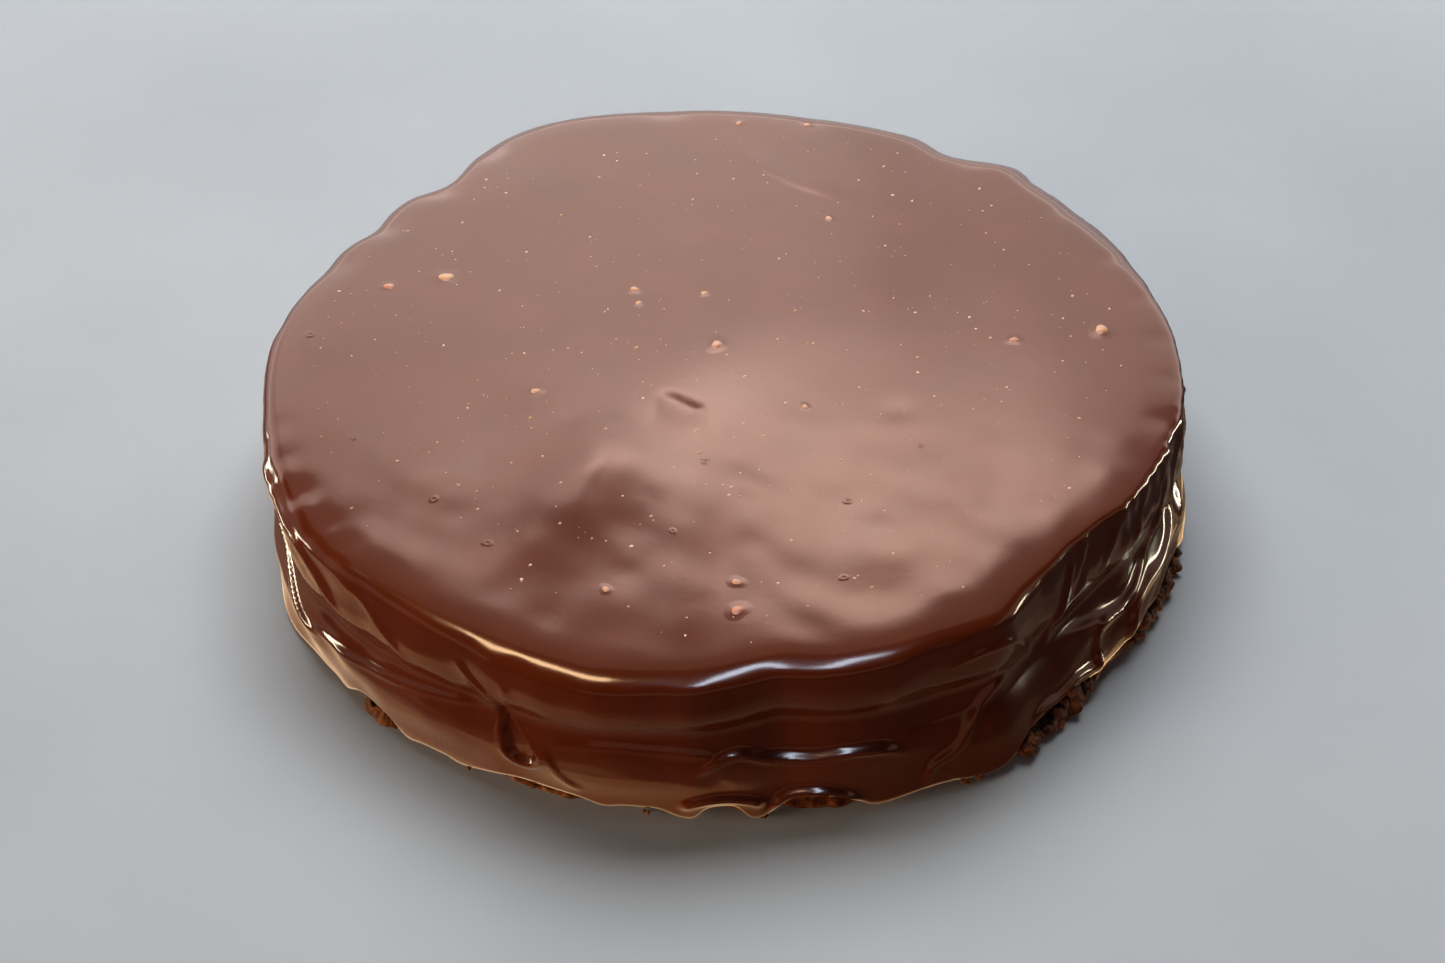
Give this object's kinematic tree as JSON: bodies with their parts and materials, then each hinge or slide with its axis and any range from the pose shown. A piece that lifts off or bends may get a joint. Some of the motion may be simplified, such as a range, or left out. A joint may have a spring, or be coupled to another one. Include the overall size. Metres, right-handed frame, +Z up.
{
  "type": "round chocolate torte",
  "caption": "Whole round chocolate torte: a flat sponge disc under a glossy poured chocolate glaze with folds, drips and a broken lower edge.",
  "frame": {"origin": "on the floor, under the middle of the cake's bounding box", "axes": "+Z up through the cake's top, -Y towards the front"},
  "size_m": [0.2732, 0.2794, 0.0507],
  "materials": {
    "sponge": "matte, rough brown crumb",
    "glaze": "glossy set chocolate"
  },
  "bodies": {
    "root": {"sponge": "sponge", "glaze": "glaze"}
  },
  "joints": []
}
